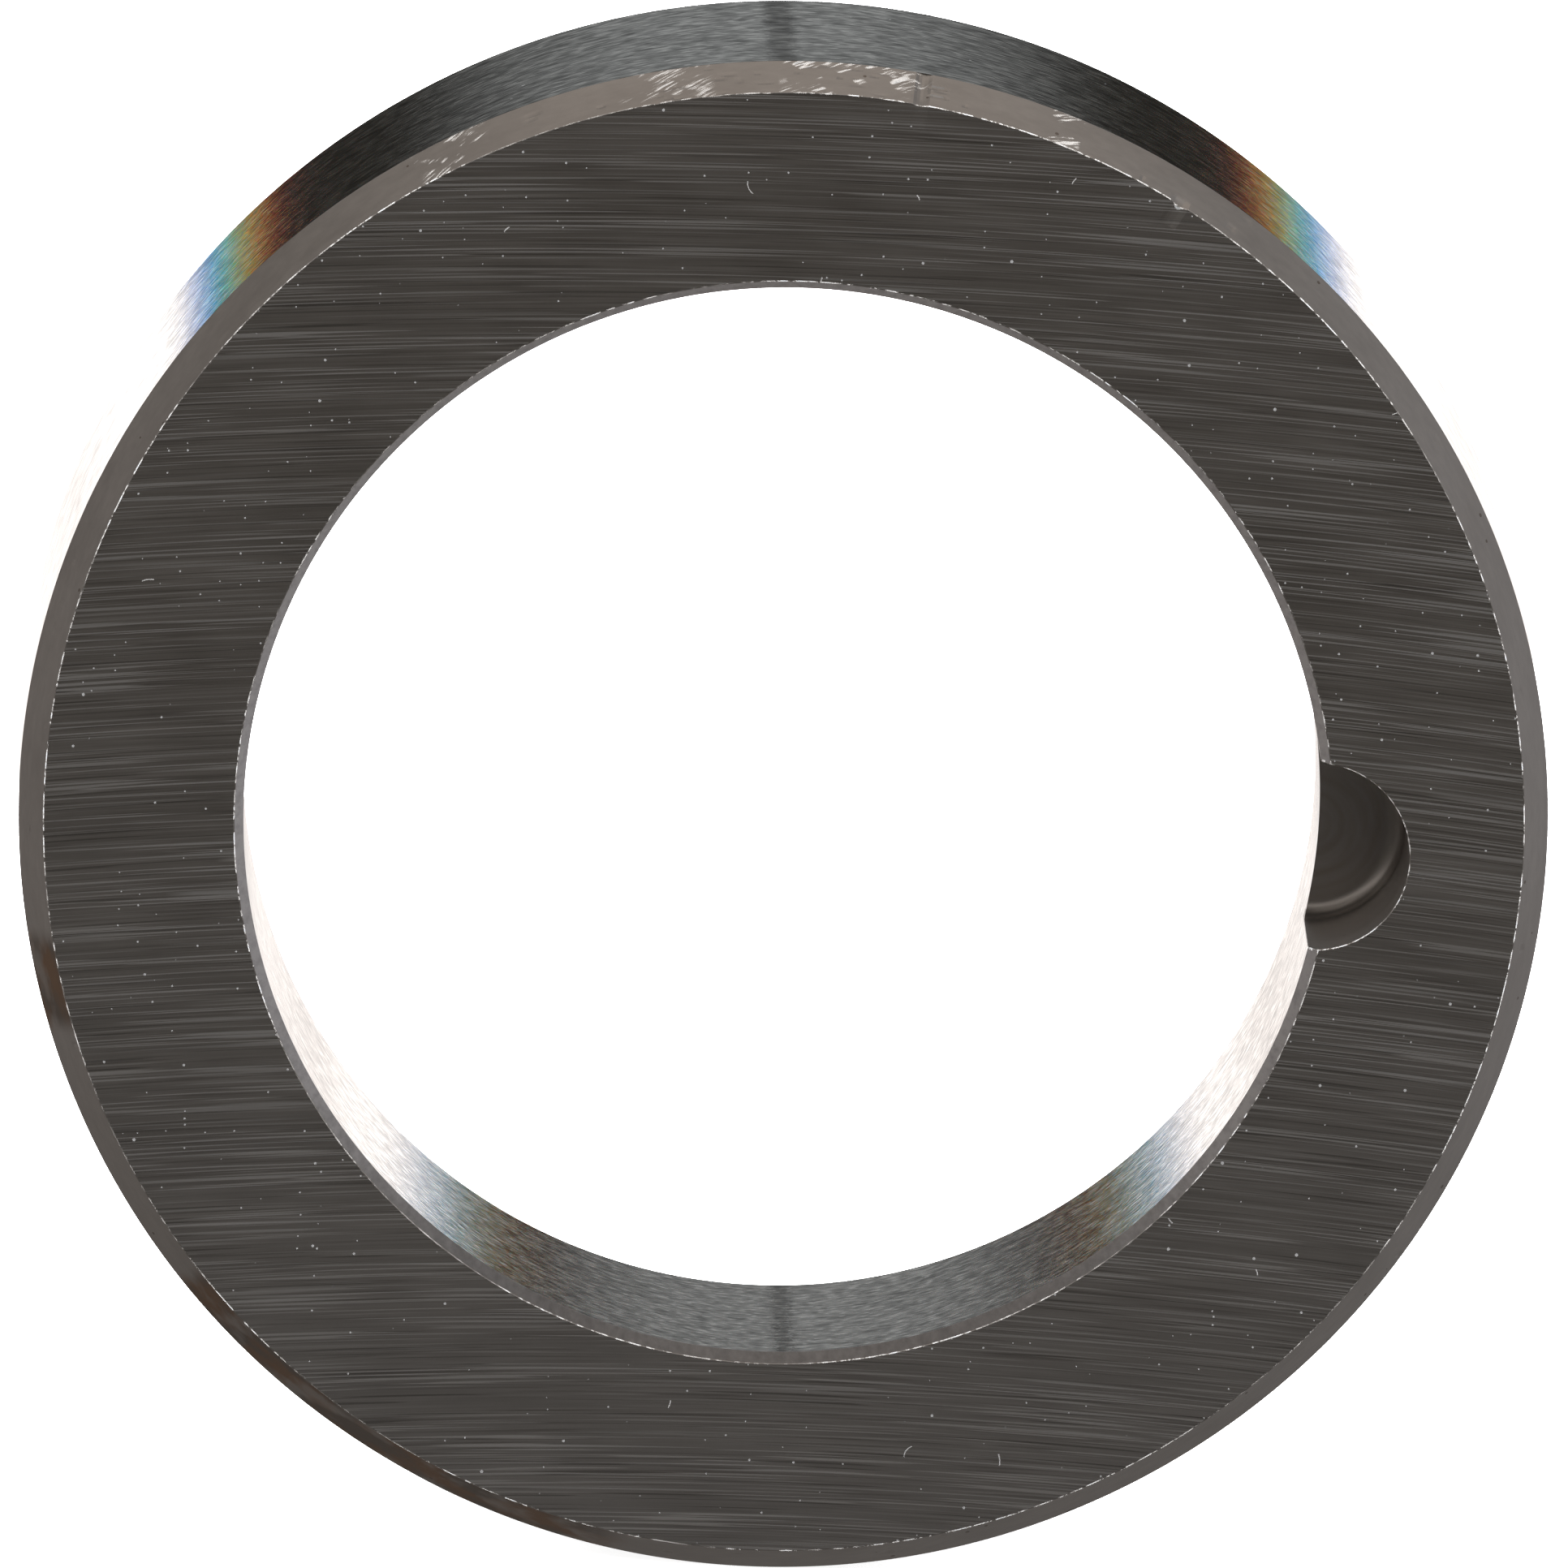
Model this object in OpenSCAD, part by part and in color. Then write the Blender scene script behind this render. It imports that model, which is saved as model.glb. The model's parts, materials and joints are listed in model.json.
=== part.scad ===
// Solid shaft collar: a thick steel ring with a drive notch milled into its front face.
// The shaft axis is Y. The front face looks along -Y, and the notch lies on +X.
// The origin is on the shaft axis, halfway along the ring's width.

/* [Ring] */
// Outside diameter
outside_d = 85; // [78:1:140]
// Bore diameter, the nominal diameter of the shaft
bore_d = 60; // [40:1:66]
// Width along the shaft axis
ring_w = 24; // [16:1:60]

/* [Chamfers] */
// Angle between every chamfer and the shaft axis
chamfer_angle = 30; // [15:5:45]
// Length along the axis of the chamfer round the outside, at the front
front_rim_chamfer = 2.4; // [0.4:0.1:3]
// Length along the axis of the chamfer round the bore, at the front
front_bore_chamfer = 0.9; // [0.2:0.1:3]
// Length along the axis of the edge break round the outside, at the back
back_rim_chamfer = 0.4; // [0.2:0.1:3]
// Length along the axis of the lead-in round the bore, at the back
back_bore_chamfer = 3.1; // [0.4:0.1:4]

/* [Notch] */
// Diameter of the cutter that makes the notch
notch_d = 10.5; // [6:0.5:12]
// Depth of the notch below the front face
notch_depth = 10.2; // [3:0.1:13]
// Distance from the bore's wall in to the centre of the notch
notch_inset = 0.44; // [0:0.02:1]
// Corner radius of the cutter, left round the notch's floor
notch_corner_r = 1; // [0.5:0.1:2.5]

/* [Hidden] */
outside_r = outside_d / 2;
bore_r = bore_d / 2;
notch_r = notch_d / 2;
front = ring_w / 2;
back = -ring_w / 2;
overcut = 1;
ring_facets = 240;
notch_facets = 96;
corner_facets = 32;

// Width across the face of a chamfer with this length along the axis
function chamfer_width(length) = length * tan(chamfer_angle);

// Half section through the wall: x is the radius, y runs along the shaft axis towards the front
module wall_section() {
    polygon([
        [bore_r, back + back_bore_chamfer],
        [bore_r + chamfer_width(back_bore_chamfer), back],
        [outside_r - chamfer_width(back_rim_chamfer), back],
        [outside_r, back + back_rim_chamfer],
        [outside_r, front - front_rim_chamfer],
        [outside_r - chamfer_width(front_rim_chamfer), front],
        [bore_r + chamfer_width(front_bore_chamfer), front],
        [bore_r, front - front_bore_chamfer]
    ]);
}

// Half section through the cutter, standing on the notch's floor
module cutter_section() {
    square([notch_r - notch_corner_r, notch_depth + overcut]);
    translate([0, notch_corner_r])
        square([notch_r, notch_depth + overcut - notch_corner_r]);
    intersection() {
        translate([notch_r - notch_corner_r, notch_corner_r])
            circle(r = notch_corner_r, $fn = corner_facets);
        square([notch_r, notch_r]);
    }
}

module turned_ring() {
    rotate_extrude($fn = ring_facets)
        wall_section();
}

module notch_cutter() {
    translate([bore_r - notch_inset, 0, front - notch_depth])
        rotate_extrude($fn = notch_facets)
            cutter_section();
}

module collar_ring() {
    color("dimgray")
        rotate([90, 0, 0])
            difference() {
                turned_ring();
                notch_cutter();
            }
}

collar_ring();
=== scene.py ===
import json
import math
import random

import bmesh
import bpy
from mathutils import Matrix, Vector


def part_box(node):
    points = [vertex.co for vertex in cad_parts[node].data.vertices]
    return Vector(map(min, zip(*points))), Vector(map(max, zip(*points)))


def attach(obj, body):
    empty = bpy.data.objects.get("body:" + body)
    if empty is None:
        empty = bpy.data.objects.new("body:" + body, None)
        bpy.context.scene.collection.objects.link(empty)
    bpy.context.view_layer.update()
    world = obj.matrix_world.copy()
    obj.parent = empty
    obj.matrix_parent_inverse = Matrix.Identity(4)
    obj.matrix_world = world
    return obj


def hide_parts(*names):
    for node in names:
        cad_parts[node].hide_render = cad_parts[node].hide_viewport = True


# The looks of a solid steel shaft collar. Its shaft axis is Y, its notched front face looks along
# -Y, its notch lies on +X, and it stands on its rim on the floor. Lengths are in metres, and
# shader distances are in millimetres.

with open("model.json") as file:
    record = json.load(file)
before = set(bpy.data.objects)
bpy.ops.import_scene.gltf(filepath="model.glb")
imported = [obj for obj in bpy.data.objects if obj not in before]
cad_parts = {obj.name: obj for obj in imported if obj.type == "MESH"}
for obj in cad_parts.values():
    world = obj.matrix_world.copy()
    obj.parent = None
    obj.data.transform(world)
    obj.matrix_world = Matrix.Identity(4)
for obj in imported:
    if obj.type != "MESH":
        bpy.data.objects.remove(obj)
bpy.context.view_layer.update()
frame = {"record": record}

# ---------------------------------------------------------------- sizes

MM = 0.001
mounts = {mount["name"]: mount for mount in frame["record"]["mounts"]}
ring_low, ring_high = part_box("collar_ring")

OUTSIDE_R = ring_high.z
BORE_R = mounts["bore"]["dims"]["r_mm"] * MM
FRONT = ring_low.y
BACK = ring_high.y
NOTCH_X = mounts["drive_notch"]["pos_m"][0]
NOTCH_R = mounts["drive_notch"]["dims"]["r_mm"] * MM

# The cuts that the record doesn't state, as in the CAD source
CHAMFER_ANGLE = math.radians(30)
CHAMFER_SLOPE = math.tan(CHAMFER_ANGLE)
FRONT_RIM_CHAMFER = 2.4 * MM
FRONT_BORE_CHAMFER = 0.9 * MM
BACK_RIM_CHAMFER = 0.4 * MM
BACK_BORE_CHAMFER = 3.1 * MM
NOTCH_DEPTH = 10.2 * MM
NOTCH_CORNER_R = 1.0 * MM

FACE_OUTER_R = OUTSIDE_R - FRONT_RIM_CHAMFER * CHAMFER_SLOPE
FACE_INNER_R = BORE_R + FRONT_BORE_CHAMFER * CHAMFER_SLOPE
BACK_INNER_R = BORE_R + BACK_BORE_CHAMFER * CHAMFER_SLOPE
BACK_OUTER_R = OUTSIDE_R - BACK_RIM_CHAMFER * CHAMFER_SLOPE

# The ring has rolled a little on its rim, so the notch sits this far below level in the picture
NOTCH_DROP = math.radians(3.75)

RING_STEPS = 1440
EDGE_ROUND = 0.07 * MM
EDGE_STEPS = 4

# Faces that meet at more than this are shaded with an edge between them
SHARP_ANGLE = math.radians(2.5)

ZONES = ("bore_chamfer", "front_face", "rim_chamfer", "outer_wall", "rim_break", "back_face",
         "bore_lead_in", "bore_wall", "notch", "bright_edge")
ZONE = {name: index for index, name in enumerate(ZONES)}


def level_angle(degrees):
    """The ring's own angle of a place seen at this angle, counted from the picture's right."""
    return math.radians(degrees) + NOTCH_DROP


# ---------------------------------------------------------------- the ring's mesh

def rounded_profile():
    """The wall's outline as (radius, y, zone) points. A point's zone is the strip's that follows."""
    # radius, y, zone of the strip that follows, rows of faces along that strip
    corners = [
        (BORE_R, FRONT + FRONT_BORE_CHAMFER, "bore_chamfer", 6),
        (FACE_INNER_R, FRONT, "front_face", 8),
        (FACE_OUTER_R, FRONT, "rim_chamfer", 28),
        (OUTSIDE_R, FRONT + FRONT_RIM_CHAMFER, "outer_wall", 12),
        (OUTSIDE_R, BACK - BACK_RIM_CHAMFER, "rim_break", 2),
        (BACK_OUTER_R, BACK, "back_face", 8),
        (BACK_INNER_R, BACK, "bore_lead_in", 6),
        (BORE_R, BACK - BACK_BORE_CHAMFER, "bore_wall", 12),
    ]
    bright = {(FACE_INNER_R, FRONT), (FACE_OUTER_R, FRONT)}
    points = []
    count = len(corners)
    for i, (radius, y, zone, rows) in enumerate(corners):
        here = Vector((radius, y))
        before = Vector(corners[i - 1][:2])
        after = Vector(corners[(i + 1) % count][:2])
        into = (here - before).normalized()
        out = (after - here).normalized()
        turn = into.angle(out)
        reach = EDGE_ROUND * math.tan(turn / 2)
        start = here - into * reach
        end = here + out * reach
        arc_zone = "bright_edge" if (radius, y) in bright else zone
        for step in range(EDGE_STEPS):
            part = step / EDGE_STEPS
            curve = start.lerp(here, part).lerp(here.lerp(end, part), part)
            points.append((curve.x, curve.y, arc_zone))
        next_turn = out.angle((Vector(corners[(i + 2) % count][:2]) - after).normalized())
        stop = after - out * (EDGE_ROUND * math.tan(next_turn / 2))
        for row in range(rows):
            straight = end.lerp(stop, row / rows)
            points.append((straight.x, straight.y, zone))
    return points


def revolve(points, steps, name, centre_x=0.0):
    """A mesh object turned about the line x = centre_x along Y, from a closed outline of points."""
    bm = bmesh.new()
    rings = []
    for step in range(steps):
        angle = 2 * math.pi * step / steps
        rings.append([
            bm.verts.new((centre_x + radius * math.cos(angle), y, radius * math.sin(angle)))
            for radius, y, _ in points
        ])
    for step in range(steps):
        here, after = rings[step], rings[(step + 1) % steps]
        for i, (_, _, zone) in enumerate(points):
            j = (i + 1) % len(points)
            face = bm.faces.new((here[i], here[j], after[j], after[i]))
            face.material_index = ZONE[zone]
    bmesh.ops.recalc_face_normals(bm, faces=bm.faces)
    mesh = bpy.data.meshes.new(name)
    bm.to_mesh(mesh)
    bm.free()
    made = bpy.data.objects.new(name, mesh)
    bpy.context.scene.collection.objects.link(made)
    return made


def notch_cutter():
    """The end mill's swept volume: a round pocket with a filleted floor and a thin broken rim."""
    support = 0.15 * MM
    rim_break = 0.05 * MM
    axis_r = 0.02 * MM
    fillet_steps = 40
    steps = 192
    floor = FRONT + NOTCH_DEPTH
    outline = [(axis_r, floor), (NOTCH_R - NOTCH_CORNER_R - support, floor)]
    for step in range(fillet_steps + 1):
        angle = math.pi / 2 * step / fillet_steps
        outline.append((
            NOTCH_R - NOTCH_CORNER_R * (1 - math.sin(angle)),
            floor - NOTCH_CORNER_R * (1 - math.cos(angle)),
        ))
    outline += [
        (NOTCH_R, floor - NOTCH_CORNER_R - support),
        (NOTCH_R, FRONT + rim_break),
        (NOTCH_R + 2 * rim_break, FRONT - rim_break),
        (axis_r, FRONT - rim_break),
    ]
    cutter = revolve([(r, y, "notch") for r, y in outline], steps, "notch_cutter", NOTCH_X)
    bm = bmesh.new()
    bm.from_mesh(cutter.data)
    bmesh.ops.remove_doubles(bm, verts=[
        v for v in bm.verts if math.hypot(v.co.x - NOTCH_X, v.co.z) < axis_r * 1.5
    ], dist=axis_r * 2.5)
    bmesh.ops.recalc_face_normals(bm, faces=bm.faces)
    bm.to_mesh(cutter.data)
    bm.free()
    return cutter


def make_ring():
    ring = revolve(rounded_profile(), RING_STEPS, "collar_body")
    for name in ZONES:
        ring.data.materials.append(bpy.data.materials.new(name))
    cutter = notch_cutter()
    cut = ring.modifiers.new("notch", "BOOLEAN")
    cut.operation = "DIFFERENCE"
    cut.object = cutter
    cut.solver = "EXACT"
    graph = bpy.context.evaluated_depsgraph_get()
    result = bpy.data.meshes.new_from_object(ring.evaluated_get(graph))
    ring.modifiers.clear()
    ring.data = result
    bpy.data.objects.remove(cutter)
    return ring


def name_notch_faces(ring):
    """Gives the notch's own faces their zone, and the thin rounded edge round it the burr's."""
    margin = 0.004 * MM
    edge = 0.06 * MM
    for face in ring.data.polygons:
        x, y, z = face.center
        if not FRONT + margin < y < FRONT + NOTCH_DEPTH + margin:
            continue
        off_axis = math.hypot(x - NOTCH_X, z) - NOTCH_R
        if off_axis < margin:
            face.material_index = ZONE["notch"]
        elif off_axis < edge:
            face.material_index = ZONE["bright_edge"]


def dent_chamfer(ring):
    """Presses the handling marks into the chamfer round the rim."""
    mid_r = (FACE_OUTER_R + OUTSIDE_R) / 2
    inward = Vector((-math.cos(CHAMFER_ANGLE), math.sin(CHAMFER_ANGLE)))
    rng = random.Random(7)
    marks_near_top = 34
    marks_all_round = 26
    # angle in degrees, place across the chamfer from 0 at the face to 1, half sizes and depth in mm
    marks = [
        (79.4, 0.5, 0.34, 1.5, 0.20),
        (78.2, 0.35, 0.5, 0.12, 0.10),
        (78.3, 0.62, 0.5, 0.12, 0.10),
        (57.8, 0.0, 0.45, 0.5, 0.16),
        (53.5, 0.3, 0.35, 0.3, 0.05),
    ]
    for _ in range(marks_near_top):
        marks.append((rng.gauss(92, 12), rng.random(), rng.uniform(0.12, 0.45),
                      rng.uniform(0.08, 0.2), rng.uniform(0.02, 0.05)))
    for _ in range(marks_all_round):
        marks.append((rng.uniform(0, 360), rng.random(), rng.uniform(0.1, 0.3),
                      rng.uniform(0.08, 0.25), rng.uniform(0.02, 0.05)))
    across = Vector((OUTSIDE_R - FACE_OUTER_R, FRONT_RIM_CHAMFER))
    length = across.length
    across.normalize()
    margin = 0.6 * MM
    # how many half sizes from its middle a mark is followed to, where nothing is left of it
    reach = 3
    spots = [(level_angle(a), place * length, u * MM, v * MM, depth * MM)
             for a, place, u, v, depth in marks]
    for vertex in ring.data.vertices:
        x, y, z = vertex.co
        radius = math.hypot(x, z)
        if y > FRONT + FRONT_RIM_CHAMFER or radius < FACE_OUTER_R - margin:
            continue
        angle = math.atan2(z, x)
        place = (Vector((radius, y)) - Vector((FACE_OUTER_R, FRONT))).dot(across)
        pushed = 0.0
        for spot_angle, spot_place, half_u, half_v, depth in spots:
            u = math.remainder(angle - spot_angle, 2 * math.pi) * mid_r / half_u
            v = (place - spot_place) / half_v
            if abs(u) < reach and abs(v) < reach:
                pushed = max(pushed, depth * math.exp(-(u ** 4 + v ** 4)))
        if pushed:
            radius += inward.x * pushed
            vertex.co = (radius * math.cos(angle), y + inward.y * pushed, radius * math.sin(angle))


# ---------------------------------------------------------------- shader helpers

class Graph:
    """Adds linked nodes to one tree. A value may be a number, a tuple or another node's output."""

    def __init__(self, tree):
        self.tree = tree
        tree.nodes.clear()

    def node(self, kind, values=(), **settings):
        made = self.tree.nodes.new(kind)
        for name, value in settings.items():
            setattr(made, name, value)
        for key, value in dict(values).items():
            self.put(made.inputs[key], value)
        return made

    def put(self, socket, value):
        if isinstance(value, bpy.types.NodeSocket):
            self.tree.links.new(value, socket)
        else:
            socket.default_value = value

    def math(self, operation, *values):
        made = self.node("ShaderNodeMath", enumerate(values), operation=operation)
        return made.outputs[0]

    def add(self, a, b):
        return self.math("ADD", a, b)

    def times(self, a, b):
        return self.math("MULTIPLY", a, b)

    def vector(self, x, y, z):
        return self.node("ShaderNodeCombineXYZ", {"X": x, "Y": y, "Z": z}).outputs[0]

    def noise(self, vector, detail=2.0, roughness=0.55, distortion=0.0):
        made = self.node("ShaderNodeTexNoise", {
            "Vector": vector, "Scale": 1.0, "Detail": detail, "Roughness": roughness,
            "Distortion": distortion,
        })
        return made.outputs["Fac"]

    def span(self, value, low, high, to_low=0.0, to_high=1.0, smooth=False):
        """The value mapped from low..high to to_low..to_high, and clamped."""
        made = self.node("ShaderNodeMapRange", {
            "Value": value, "From Min": low, "From Max": high, "To Min": to_low, "To Max": to_high,
        }, interpolation_type="SMOOTHSTEP" if smooth else "LINEAR")
        return made.outputs["Result"]

    def mix(self, factor, a, b, blend="MIX"):
        made = self.node("ShaderNodeMix", data_type="RGBA", blend_type=blend)
        sockets = [s for s in made.inputs if s.enabled]
        for socket, value in zip(sockets, (factor, a, b), strict=False):
            if isinstance(value, tuple) and len(value) == 3:
                value = (*value, 1.0)
            self.put(socket, value)
        return next(s for s in made.outputs if s.enabled)


class Place:
    """Where a shaded point is on the ring, in millimetres."""

    def __init__(self, g):
        self.g = g
        coordinates = g.node("ShaderNodeTexCoord").outputs["Object"]
        scaled = g.node("ShaderNodeVectorMath", {0: coordinates, 3: 1 / MM}, operation="SCALE")
        self.point = scaled.outputs[0]
        parts = g.node("ShaderNodeSeparateXYZ", {0: self.point})
        self.x, self.y, self.z = parts.outputs
        self.radius = self.length(self.x, self.z)

    def length(self, a, b):
        g = self.g
        return g.math("SQRT", g.add(g.times(a, a), g.times(b, b)))

    def stretched(self, along, across):
        """Noise coordinates for marks that run round the ring."""
        g = self.g
        return g.vector(g.times(self.x, along), g.times(self.y, across), g.times(self.z, along))

    def degrees_from(self, degrees):
        """How far round the ring the point is from this place, in degrees."""
        g = self.g
        angle = level_angle(degrees)
        dot = g.add(g.times(self.x, math.cos(angle)), g.times(self.z, math.sin(angle)))
        cosine = g.math("DIVIDE", dot, self.radius)
        below_one = 0.999999
        return g.math("DEGREES", g.math("ARCCOSINE", g.math("MINIMUM", cosine, below_one)))

    def sector(self, degrees, half_width, soft):
        """1 within half_width degrees of a place round the ring, falling to 0 over soft degrees."""
        away = self.degrees_from(degrees)
        return self.g.span(away, half_width, half_width + soft, 1, 0, smooth=True)


def finish_material(g, colour, roughness, height, depth_mm, metallic=1.0, across=None, tint=None):
    """One steel shader. Fine grooves blur what they mirror in the direction across them: this is a
    node's output, or "axis" for grooves that run round the ring."""
    bump = g.node("ShaderNodeBump", {"Strength": 1.0, "Distance": depth_mm * MM, "Height": height})
    shader = g.node("ShaderNodeBsdfPrincipled", {
        "Base Color": colour, "Roughness": roughness, "Metallic": metallic,
        "Normal": bump.outputs[0],
    })
    if across is not None:
        g.put(shader.inputs["Anisotropic"], GROOVE_ANISOTROPY)
        if across == "axis":
            across = g.node("ShaderNodeTangent", direction_type="RADIAL", axis="Y").outputs[0]
            g.put(shader.inputs["Anisotropic Rotation"], 0.25)
        g.put(shader.inputs["Tangent"], across)
    if tint is not None:
        g.put(shader.inputs["Specular Tint"], tint)
    g.node("ShaderNodeOutputMaterial", {"Surface": shader.outputs[0]})


def start_material(name):
    material = bpy.data.materials[name]
    material.use_nodes = True
    g = Graph(material.node_tree)
    return g, Place(g)


# ---------------------------------------------------------------- materials

STEEL_DARK = (0.30, 0.275, 0.255)
STEEL = (0.55, 0.525, 0.50)
# Burrs, lint and scuffs scatter the area lights instead of mirroring the room, so low values
# already look bright on them
BURR = (0.25, 0.255, 0.265)
LINT = (0.095, 0.095, 0.095)
SCUFF = (0.10, 0.10, 0.10)
GROOVE_ANISOTROPY = 0.7
STAIN = (0.20, 0.16, 0.13)
RUST = (0.30, 0.17, 0.09)
# The notch's steel, painted about half as bright as the rest as shade in the pocket
NOTCH_SHADED_DARKER = (0.27, 0.243, 0.220)
NOTCH_SHADED_LIGHTER = (0.31, 0.283, 0.260)
BORE_STEEL = (0.53, 0.490, 0.46)


def burr_mask(g, p, distance, width):
    """Broken bright specks along an edge; distance is how far the point is from it."""
    broken = g.noise(p.stretched(1.6, 1.6), detail=3.0, roughness=0.7)
    reach = g.span(broken, 0.50, 0.72, 0.0, width)
    return g.math("LESS_THAN", distance, reach)


def dust_mask(g, place, per_mm, radius_mm, share, dimensions="3D"):
    """Small specks: one in each cell, kept in only a share of the cells."""
    cells = g.node("ShaderNodeTexVoronoi", {"Vector": place, "Scale": per_mm},
                   voronoi_dimensions=dimensions)
    draw = g.node("ShaderNodeSeparateColor", {0: cells.outputs["Color"]}).outputs
    reach = g.times(g.span(draw[1], 0.0, 1.0, 0.5, 1.5), radius_mm * per_mm)
    kept = g.math("LESS_THAN", draw[0], share)
    return g.times(kept, g.math("LESS_THAN", cells.outputs["Distance"], reach))


def fibre_mask(g, p, per_mm, share, half_length, half_width):
    """Short fibres, straight and bent: one in each kept cell, turned any way."""
    cells = g.node("ShaderNodeTexVoronoi", {"Vector": g.vector(p.x, p.z, 0.0), "Scale": per_mm},
                   voronoi_dimensions="2D")
    draw = g.node("ShaderNodeSeparateColor", {0: cells.outputs["Color"]}).outputs
    centre = g.node("ShaderNodeSeparateXYZ", {0: cells.outputs["Position"]}).outputs
    dx = g.math("SUBTRACT", p.x, centre[0])
    dz = g.math("SUBTRACT", p.z, centre[1])
    turn = g.times(draw[1], 2 * math.pi)
    cosine = g.math("COSINE", turn)
    sine = g.math("SINE", turn)
    along = g.add(g.times(dx, cosine), g.times(dz, sine))
    beside = g.math("SUBTRACT", g.times(dz, cosine), g.times(dx, sine))
    bend = g.times(g.times(along, along), g.span(draw[2], 0.0, 1.0, -0.9, 0.9))
    off_line = g.math("ABSOLUTE", g.math("SUBTRACT", beside, bend))
    half = g.span(draw[2], 0.0, 1.0, half_length * 0.4, half_length)
    on_fibre = g.times(g.span(off_line, half_width * 0.5, half_width, 1, 0),
                       g.math("LESS_THAN", g.math("ABSOLUTE", along), half))
    return g.times(on_fibre, g.math("LESS_THAN", draw[0], share))


def face_material(name, arc_x, arc_z, inner_r, outer_r, notched):
    """Ground flat face between two radii: fine lines along wide arcs about (arc_x, arc_z)."""
    g, p = start_material(name)
    dx = g.math("SUBTRACT", p.x, arc_x)
    dz = g.math("SUBTRACT", p.z, arc_z)
    arc_r = p.length(dx, dz)
    along = g.times(g.math("ARCTAN2", dx, dz), abs(arc_z))

    def lines(per_mm_along, per_mm_across, seed, detail=0.0):
        place = g.vector(g.times(along, per_mm_along), g.times(arc_r, per_mm_across), seed)
        return g.noise(place, detail)

    mottle = g.noise(g.vector(g.times(p.x, 0.10), 3.0, g.times(p.z, 0.22)), 3.0, 0.6)
    bands = lines(0.012, 0.7, 9.0, 2.0)
    soft = lines(0.10, 8.0, 5.0, 1.0)
    shade = g.add(g.add(g.times(mottle, 0.5), g.times(bands, 0.2)), g.times(soft, 0.3))
    colour = g.mix(g.span(shade, 0.38, 0.62), (0.375, 0.353, 0.328), (0.535, 0.509, 0.481))
    # Painted reflection: the face is painted lighter and cooler towards its bottom
    low = g.span(p.z, 10.0, -42.0, 0.0, 0.4)
    colour = g.mix(low, colour, (0.70, 0.695, 0.705))
    busy = g.span(lines(0.02, 0.8, 40.0, 1.0), 0.30, 0.55)
    # The bright ground lines are real grooves, with their colour painted near white as glints
    bright = g.times(g.span(lines(0.09, 9.5, 20.0), 0.58, 0.66), busy)
    brighter_glint_lines = g.times(g.span(lines(0.06, 7.5, 25.0), 0.65, 0.71), busy)
    dark = g.span(lines(0.10, 9.0, 30.0), 0.38, 0.30)
    darker = g.span(lines(0.07, 7.5, 35.0), 0.32, 0.27)
    colour = g.mix(g.times(dark, 0.35), colour, (0.22, 0.20, 0.19))
    colour = g.mix(g.times(darker, 0.5), colour, (0.15, 0.14, 0.13))
    colour = g.mix(g.times(bright, 0.8), colour, (1.0, 0.99, 0.98))
    colour = g.mix(g.times(brighter_glint_lines, 0.8), colour, (1.0, 1.0, 1.0))
    outer_gap = g.math("SUBTRACT", outer_r / MM, p.radius)
    inner_gap = g.math("SUBTRACT", p.radius, inner_r / MM)
    edge_gap = g.math("MINIMUM", outer_gap, inner_gap)
    if notched:
        off_axis = p.length(g.math("SUBTRACT", p.x, NOTCH_X / MM), p.z)
        edge_gap = g.math("MINIMUM", edge_gap, g.math("SUBTRACT", off_axis, NOTCH_R / MM))
    loose = burr_mask(g, p, edge_gap, 0.06)
    if notched:
        loose = g.math("MAXIMUM", loose, chip_mask(g, p, outer_gap))
    flat = g.vector(p.x, p.z, 0.0)
    lint = (
        dust_mask(g, flat, 0.40, 0.060, 0.30, "2D"),
        dust_mask(g, flat, 0.9, 0.040, 0.18, "2D"),
        fibre_mask(g, p, 0.22, 0.16, 0.4, 0.03),
        fibre_mask(g, p, 0.11, 0.12, 0.9, 0.025),
    )
    for mask in lint:
        loose = g.math("MAXIMUM", loose, mask)
    colour = g.mix(loose, colour, LINT)
    height = g.add(g.times(soft, 0.5), g.times(g.add(bright, g.times(dark, -1.0)), 0.5))
    from_arc = g.vector(dx, 0.0, dz)
    across = g.node("ShaderNodeVectorMath", {0: from_arc}, operation="NORMALIZE").outputs[0]
    roughness = g.span(soft, 0.3, 0.7, 0.28, 0.33)
    metallic = g.math("SUBTRACT", 1.0, g.times(loose, 0.9))
    finish_material(g, colour, roughness, height, 0.002, metallic=metallic, across=across)


def chip_mask(g, p, outer_gap):
    """The bright bruise where the front face meets the rim's chamfer."""
    beside = g.span(p.degrees_from(57.8), 0.12, 0.62, 0.32, 0.0)
    return g.math("LESS_THAN", outer_gap, beside)


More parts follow.
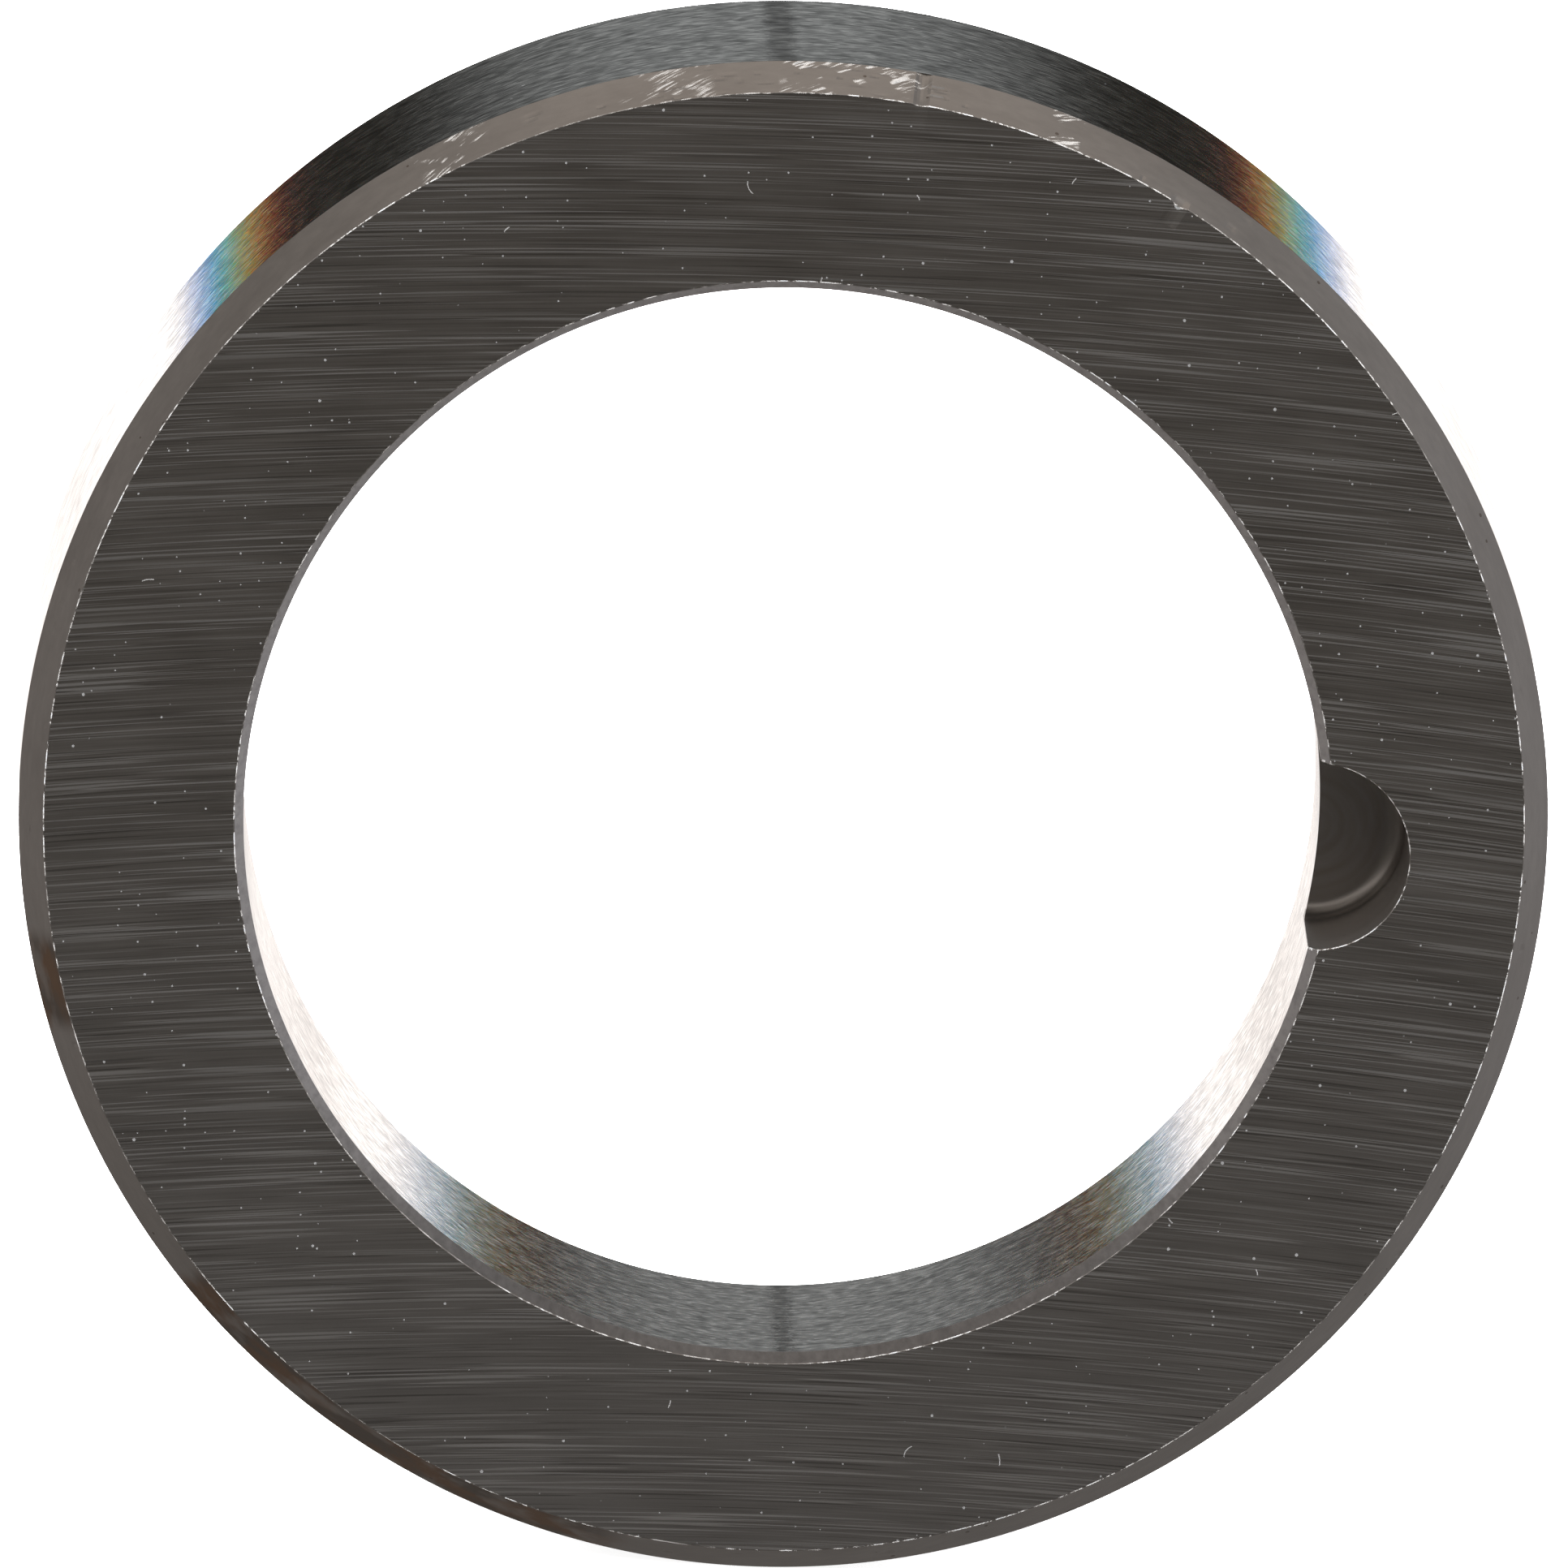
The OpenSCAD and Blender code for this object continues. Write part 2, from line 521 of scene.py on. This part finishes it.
def wall_material(name, base, roughness, streak, depth, contrast=0.35, light=1.0):
    """Turned and ground wall: short streaks that run round the ring, each with its own sheen. The
    roughness is a (least, most) pair, and streak is (along, across) the streaks, in marks per mm."""
    g, p = start_material(name)
    along, across = streak
    dashes = g.noise(p.stretched(along, across), 2.0, 0.6)
    ticks = g.noise(p.stretched(along * 1.4, across * 1.8), 1.0, 0.5)
    grooves = g.noise(p.stretched(along * 1.8, across * 2.4), 2.0, 0.6)
    wide = g.noise(p.stretched(along * 0.15, across * 0.4), 2.0)
    lines = g.noise(p.stretched(along * 0.25, across * 5.0), 2.0)
    shade = g.add(g.times(dashes, 0.4), g.times(ticks, 0.35))
    shade = g.add(shade, g.add(g.times(wide, 0.1), g.times(lines, 0.25)))
    strong = g.span(ticks, 0.60, 0.70)
    loose = dust_mask(g, p.point, 0.45, 0.08, 0.6)
    level = g.span(shade, 0.43, 0.65, light * (1 - contrast), light)
    level = g.add(level, g.times(strong, contrast * 0.7))
    tint = g.vector(level, level, level)
    colour = g.mix(1.0, base, tint, "MULTIPLY")
    colour = g.mix(loose, colour, LINT)
    sheen = g.span(dashes, 0.35, 0.65, *roughness)
    metallic = g.math("SUBTRACT", 1.0, g.times(loose, 0.9))
    finish_material(g, colour, sheen, grooves, depth, metallic=metallic, across="axis", tint=tint)


def chamfer_material(name, scuffs, stains):
    """Turned chamfer, handled: smooth grey, with scuffs and stains. Each of those is given by its
    sector: its middle, its half width and its soft border, in degrees."""
    g, p = start_material(name)
    fine = g.noise(p.stretched(0.9, 2.5), 4.0, 0.6)
    broad = g.noise(p.stretched(0.12, 0.3), 2.0)
    darker = tuple(c * 0.92 for c in STEEL)
    lighter = tuple(c * 1.06 for c in STEEL)
    colour = g.mix(g.span(fine, 0.3, 0.7), darker, lighter)
    colour = g.mix(g.times(g.span(broad, 0.45, 0.7), 0.2), colour, STEEL_DARK)
    stained = 0.0
    for degrees, half_width, soft in stains:
        stained = g.math("MAXIMUM", stained, p.sector(degrees, half_width, soft))
    patchy = g.span(g.noise(p.stretched(0.3, 0.5), 3.0, 0.6), 0.34, 0.50, 0.35, 1.0)
    stained = g.times(stained, patchy)
    rusty = g.span(g.noise(p.stretched(0.3, 0.6), 3.0), 0.42, 0.6)
    colour = g.mix(g.times(stained, 0.85), colour, g.mix(rusty, STAIN, RUST))
    specks = dust_mask(g, p.point, 0.8, 0.09, 0.5)
    colour = g.mix(g.times(specks, 0.7), colour, STAIN)
    scuffed = 0.0
    for degrees, half_width, soft in scuffs:
        scuffed = g.math("MAXIMUM", scuffed, p.sector(degrees, half_width, soft))
    patch = g.span(g.noise(p.stretched(0.45, 0.8), 2.0, 0.6), 0.50, 0.60)
    slanted = g.add(g.times(p.y, 5.0), g.times(p.x, -2.6))
    scratch = g.noise(g.vector(g.times(p.x, 0.4), slanted, g.times(p.z, 0.4)), 3.0, 0.7)
    scratch = g.span(scratch, 0.52, 0.66)
    scuff = g.times(g.times(scuffed, patch), scratch)
    colour = g.mix(scuff, colour, SCUFF)
    metallic = g.math("SUBTRACT", 1.0, g.times(scuff, 0.8))
    finish_material(g, colour, g.span(fine, 0.3, 0.7, 0.36, 0.44), fine, 0.003, metallic=metallic)


def notch_material(name):
    """Milled pocket, its steel painted darker than the rest as shade in the recess, with faint rings
    on its floor and faint lines down its wall.
    """
    g, p = start_material(name)
    off_axis = p.length(g.math("SUBTRACT", p.x, NOTCH_X / MM), p.z)
    rings = g.noise(g.vector(g.times(off_axis, 2.0), g.times(p.y, 0.6), g.times(p.z, 0.3)), 3.0)
    # Painted shade: the pocket's colours are darker than the steel outside it
    colour = g.mix(g.span(rings, 0.3, 0.7), NOTCH_SHADED_DARKER, NOTCH_SHADED_LIGHTER)
    specks = dust_mask(g, p.point, 0.5, 0.09, 0.9)
    colour = g.mix(g.times(specks, 0.7), colour, STAIN)
    finish_material(g, colour, 0.34, rings, 0.0006, metallic=0.975)


def bright_edge_material(name):
    """The thin burr line where the face has been ground off."""
    g, p = start_material(name)
    broken = g.noise(p.stretched(1.5, 1.5), 3.0, 0.7)
    runs = g.noise(p.stretched(0.12, 0.12), 1.0)
    chipped = g.times(g.span(broken, 0.46, 0.60), g.span(runs, 0.40, 0.58, 0.12, 1.0))
    colour = g.mix(chipped, STEEL, BURR)
    metallic = g.math("SUBTRACT", 1.0, g.times(chipped, 0.85))
    finish_material(g, colour, 0.4, broken, 0.01, metallic=metallic)


def bore_chamfer_material(name):
    """The narrow turned chamfer at the bore, with painted shade that darkens it towards the bottom.
    """
    g, p = start_material(name)
    marks = g.noise(p.stretched(2.2, 0.5), 3.0, 0.6)
    # Painted shade: darker towards the bottom
    level = g.span(p.z, -28.0, -16.0, 0.52, 1.0)
    shade = g.times(level, g.span(marks, 0.3, 0.7, 0.8, 1.1))
    colour = g.mix(1.0, (1.0, 0.99, 1.0), g.vector(shade, shade, shade), "MULTIPLY")
    finish_material(g, colour, 0.4, marks, 0.003)


def make_materials():
    # The middle of the grinding lines' wide arcs as the picture sees it, turned into the ring's frame
    face_r = OUTSIDE_R / MM
    turn = NOTCH_DROP
    arc = Vector((-0.334 * face_r, -9.13 * face_r))
    arc_x = arc.x * math.cos(turn) - arc.y * math.sin(turn)
    arc_z = arc.x * math.sin(turn) + arc.y * math.cos(turn)
    face_material("front_face", arc_x, arc_z, FACE_INNER_R, FACE_OUTER_R, notched=True)
    face_material("back_face", -arc_x, arc_z, BACK_INNER_R, BACK_OUTER_R, notched=False)
    wall_material("outer_wall", STEEL, (0.045, 0.065), (0.75, 1.2), 0.006, contrast=0.45)
    wall_material("rim_break", STEEL, (0.28, 0.34), (0.8, 2.2), 0.003)
    wall_material("bore_wall", BORE_STEEL, (0.06, 0.10), (1.0, 1.5), 0.009,
                  contrast=0.4, light=0.95)
    wall_material("bore_lead_in", STEEL, (0.32, 0.40), (0.8, 2.0), 0.003)
    bore_chamfer_material("bore_chamfer")
    chamfer_material(
        "rim_chamfer",
        scuffs=[(84.5, 5, 1), (99, 2.4, 1.5), (116, 2.2, 1), (68, 0.9, 0.5)],
        stains=[(192.5, 2.5, 2), (222, 3, 2), (232, 8, 4), (246, 8, 5)],
    )
    notch_material("notch")
    bright_edge_material("bright_edge")


# ---------------------------------------------------------------- camera, floor and light

# Two of the things that the steel mirrors: the dark gap over the sweep, and the room at its level
GAP = (0.036, 0.034, 0.030)
ROOM_LEVEL = (0.27, 0.262, 0.26)


def aim_camera():
    """A long lens, ten degrees above level, that sees the notch just below the picture's middle."""
    elevation = math.radians(10.05)
    yaw = math.radians(0.74)
    distance = 60 * OUTSIDE_R
    aim_above_axis = 0.0518 * OUTSIDE_R
    # The picture's width, counted in the ring's outside radii
    width_in_radii = 2.04802035
    level = Matrix.Rotation(-NOTCH_DROP, 3, "Y")
    back_y = -math.cos(yaw) * math.cos(elevation)
    back = level @ Vector((-math.sin(yaw), back_y, math.sin(elevation)))
    back.normalize()
    right = (level @ Vector((0, 0, 1))).cross(back)
    right.normalize()
    up = back.cross(right)
    place = Vector((0, FRONT, 0)) + up * aim_above_axis + back * distance
    data = bpy.data.cameras.new("camera")
    data.sensor_width = 36
    data.lens = data.sensor_width * distance / (width_in_radii * OUTSIDE_R)
    data.clip_start = 0.1 * distance
    data.clip_end = 10 * distance
    camera = bpy.data.objects.new("camera", data)
    turned = Matrix((right, up, back)).transposed().to_4x4()
    camera.matrix_world = Matrix.Translation(place) @ turned
    bpy.context.scene.collection.objects.link(camera)
    bpy.context.scene.camera = camera


def make_floor():
    """A pale light table under the rim. Polished steel reflects the studio instead of it."""
    size = 40.0
    mesh = bpy.data.meshes.new("floor")
    corners = [(-size, -size, 0), (size, -size, 0), (size, size, 0), (-size, size, 0)]
    mesh.from_pydata(corners, [], [(0, 1, 2, 3)])
    floor = bpy.data.objects.new("floor", mesh)
    floor.location.z = ring_low.z
    bpy.context.scene.collection.objects.link(floor)
    floor.visible_glossy = False
    material = bpy.data.materials.new("floor")
    material.use_nodes = True
    g = Graph(material.node_tree)
    shader = g.node("ShaderNodeBsdfPrincipled", {
        "Base Color": (0.8, 0.8, 0.8, 1.0), "Roughness": 1.0, "Specular IOR Level": 0.0,
        "Emission Color": (1.0, 1.0, 1.0, 1.0), "Emission Strength": 0.9,
    })
    g.node("ShaderNodeOutputMaterial", {"Surface": shader.outputs[0]})
    mesh.materials.append(material)


def area_light(name, place, target, size, power):
    """A soft light that paints floors and dust, and that polished steel doesn't mirror."""
    data = bpy.data.lights.new(name, "AREA")
    data.shape = "DISK"
    data.size = size
    data.energy = power
    light = bpy.data.objects.new(name, data)
    light.location = place
    light.rotation_euler = (Vector(target) - Vector(place)).to_track_quat("-Z", "Y").to_euler()
    light.visible_glossy = False
    light.visible_camera = False
    bpy.context.scene.collection.objects.link(light)


def colour_ramp(g, value, stops):
    """A colour ramp with these (position, colour) stops."""
    ramp = g.node("ShaderNodeValToRGB", {0: value})
    elements = ramp.color_ramp.elements
    while len(elements) < len(stops):
        elements.new(1.0)
    for element, (position, colour) in zip(elements, stops, strict=True):
        element.position = position
        element.color = (*colour, 1.0)
    return ramp.outputs[0]


def make_sweep():
    """A white paper sweep behind the ring, seen only in its steel. Its top edge is coloured, to stand
    for light that fine grooves seem to split. It is near, so the bore sees that edge higher than the
    rim does."""
    distance = 1.0
    half_width = 0.47
    low = -0.6
    high = 0.056
    mesh = bpy.data.meshes.new("sweep")
    corners = [
        (-half_width, 0, low),
        (half_width, 0, low),
        (half_width, 0, high),
        (-half_width, 0, high),
    ]
    mesh.from_pydata(corners, [], [(0, 1, 2, 3)])
    sweep = bpy.data.objects.new("sweep", mesh)
    sweep.location.y = distance
    sweep.rotation_euler.y = -NOTCH_DROP
    sweep.visible_camera = False
    sweep.visible_diffuse = False
    sweep.visible_shadow = False
    bpy.context.scene.collection.objects.link(sweep)
    material = bpy.data.materials.new("sweep")
    material.use_nodes = True
    g = Graph(material.node_tree)
    place = g.node("ShaderNodeTexCoord").outputs["Object"]
    flat = g.node("ShaderNodeVectorMath", {0: place, 3: 1 / distance}, operation="SCALE").outputs[0]
    x, _, height = g.node("ShaderNodeSeparateXYZ", {0: flat}).outputs
    # height as a share of the sweep's distance, and the light there: white, a rainbow, then the gap
    edge = [
        (-0.018, (1.90, 1.82, 1.77)),
        (-0.011, (1.20, 1.08, 0.95)),
        (-0.005, (0.80, 0.86, 1.08)),
        (0.003, (0.34, 0.46, 1.05)),
        (0.011, (0.04, 0.38, 0.95)),
        (0.019, (0.03, 0.58, 0.52)),
        (0.026, (0.05, 0.62, 0.12)),
        (0.033, (0.78, 0.62, 0.04)),
        (0.039, (1.00, 0.09, 0.05)),
        (0.046, (0.14, 0.03, 0.08)),
        (0.052, GAP),
    ]
    edge_low = -0.02
    edge_high = 0.06
    stops = [((level - edge_low) / (edge_high - edge_low), colour) for level, colour in edge]
    glow = colour_ramp(g, g.span(height, edge_low, edge_high), stops)
    glow = g.mix(g.span(height, -0.06, -0.10), glow, (1.40, 1.32, 1.27))
    glow = g.mix(g.span(height, -0.165, -0.215), glow, (0.30, 0.29, 0.285))
    glow = g.mix(g.span(g.math("ABSOLUTE", x), 0.30, 0.45), glow, ROOM_LEVEL)
    emission = g.node("ShaderNodeEmission", {"Color": glow, "Strength": 1.0})
    g.node("ShaderNodeOutputMaterial", {"Surface": emission.outputs[0]})
    mesh.materials.append(material)


def make_room():
    """The rest of what the steel mirrors: a dark gap over the sweep, then a grey wall with a closed
    door, a warm ceiling, and a dark room with one high lamp on the camera's side."""
    world = bpy.data.worlds.new("room")
    bpy.context.scene.world = world
    world.use_nodes = True
    g = Graph(world.node_tree)
    direction = g.node("ShaderNodeTexCoord").outputs["Generated"]
    level = g.node("ShaderNodeMapping", {"Vector": direction, "Rotation": (0.0, NOTCH_DROP, 0.0)},
                   vector_type="POINT").outputs[0]
    x, y, z = g.node("ShaderNodeSeparateXYZ", {0: level}).outputs
    camera_side = g.span(y, 0.0, -0.5, smooth=True)
    room = g.mix(g.span(z, -0.75, -0.2), (0.165, 0.158, 0.152), ROOM_LEVEL)
    room = g.mix(g.span(z, 0.3, 0.6), room, (0.25, 0.242, 0.235))
    warm_side = g.mix(1.0, room, (0.82, 0.78, 0.75), "MULTIPLY")
    cool_side = g.mix(1.0, room, (1.14, 1.14, 1.16), "MULTIPLY")
    room = g.mix(g.span(x, -0.8, 0.8), warm_side, cool_side)
    room = g.mix(g.times(camera_side, g.span(z, 0.4, 0.1)), room, (0.080, 0.075, 0.070))
    lamp = g.times(g.times(camera_side, g.span(z, 0.33, 0.40)), g.span(z, 0.63, 0.55))
    room = g.mix(lamp, room, (0.82, 0.80, 0.78))
    room = g.mix(g.span(z, 0.70, 0.95), room, (0.50, 0.45, 0.41))
    wall = g.mix(g.span(z, 0.092, 0.168), GAP, (0.370, 0.388, 0.392))
    door_x = 0.0125
    door = g.span(g.math("ABSOLUTE", g.add(x, -door_x)), 0.003, 0.009, 1, 0, smooth=True)
    door = g.times(door, g.span(z, 0.10, 0.14))
    wall = g.mix(g.times(door, 0.5), wall, (0.05, 0.05, 0.05))
    to_side = g.math("DIVIDE", g.math("ABSOLUTE", x), g.math("MAXIMUM", y, 0.001))
    behind = g.times(g.span(to_side, 0.30, 0.55, 1, 0, smooth=True), g.span(y, 0.0, 0.2))
    at_level = g.times(g.span(z, -0.3, -0.2), g.span(z, 0.4, 0.25))
    behind = g.times(behind, at_level)
    room = g.mix(behind, room, wall)
    background = g.node("ShaderNodeBackground", {"Color": room, "Strength": 1.0})
    g.node("ShaderNodeOutputWorld", {"Surface": background.outputs[0]})


ring = make_ring()
name_notch_faces(ring)
dent_chamfer(ring)
ring.data.shade_smooth()
ring.data.set_sharp_from_angle(angle=SHARP_ANGLE)
make_materials()
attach(ring, "root")
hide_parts("collar_ring")

aim_camera()
make_floor()
area_light("key", (-0.5, -0.7, 1.2), (0, 0, 0), 1.4, 55)
area_light("fill", (0.6, 0.5, 1.2), (0, 0, 0), 1.4, 55)
area_light("left", (-1.1, 0.4, 0.8), (0, 0, 0), 1.2, 40)
area_light("right", (1.1, -0.5, 0.8), (0, 0, 0), 1.2, 40)
make_sweep()
make_room()
bpy.context.scene.view_settings.view_transform = "Standard"
